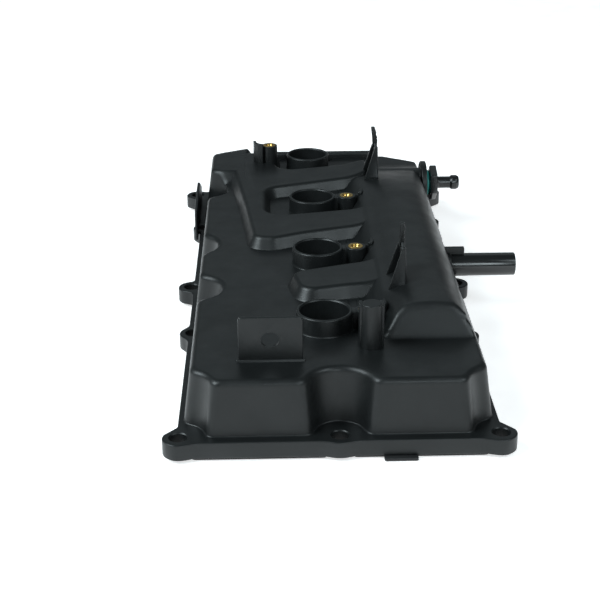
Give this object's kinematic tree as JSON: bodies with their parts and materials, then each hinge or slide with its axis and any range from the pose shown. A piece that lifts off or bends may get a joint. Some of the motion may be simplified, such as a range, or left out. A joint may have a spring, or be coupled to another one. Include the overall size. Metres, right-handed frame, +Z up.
{
  "type": "camshaft cover",
  "caption": "Moulded plastic cover for the top of an engine's cylinder head, with open plug tubes, brass inserts, harness fins, a breather pipe and a crankcase ventilation valve.",
  "frame": {"origin": "on the gasket's sealing plane, midway between the two bolts on the cover's centre line", "axes": "+X towards the hose connections, +Y along the row of plugs away from the plain front end, +Z up out of the engine"},
  "size_m": [0.2491, 0.4576, 0.0987],
  "materials": {
    "cover_plastic": "fine matt texture",
    "pipe_plastic": "satin",
    "valve_plastic": "satin",
    "baffle_plastic": "as moulded",
    "gasket_rubber": "matt",
    "seal_rubber": "matt",
    "teal_rubber": "satin",
    "brass": "turned",
    "plunger_steel": "ground",
    "screw_steel": "zinc plated"
  },
  "bodies": {
    "cover": {"cover_shell": "cover_plastic", "perimeter_gasket": "gasket_rubber", "pcv_valve_body": "valve_plastic", "pcv_valve_seat": "brass", "pcv_spring": "plunger_steel", "pcv_o_ring": "teal_rubber", "breather_pipe": "pipe_plastic", "pcv_chamber_baffle": "baffle_plastic", "breather_chamber_baffle": "baffle_plastic", "pcv_baffle_screws": "screw_steel", "breather_baffle_screws": "screw_steel", "stand_insert": "brass", "plug_tube_seal_1": "seal_rubber", "plug_tube_seal_2": "seal_rubber", "plug_tube_seal_3": "seal_rubber", "plug_tube_seal_4": "seal_rubber", "coil_insert_1": "brass", "coil_insert_2": "brass", "coil_insert_3": "brass"},
    "plunger": {"pcv_plunger": "plunger_steel"}
  },
  "joints": [
    {"name": "plunger_slide", "type": "slide", "parent": "cover", "child": "plunger", "axis": [1, 0, 0], "range_m": [0, 0.0035], "stiffness_N_per_m": 60, "springref_m": -0.003, "deforming": ["pcv_spring"]}
  ]
}
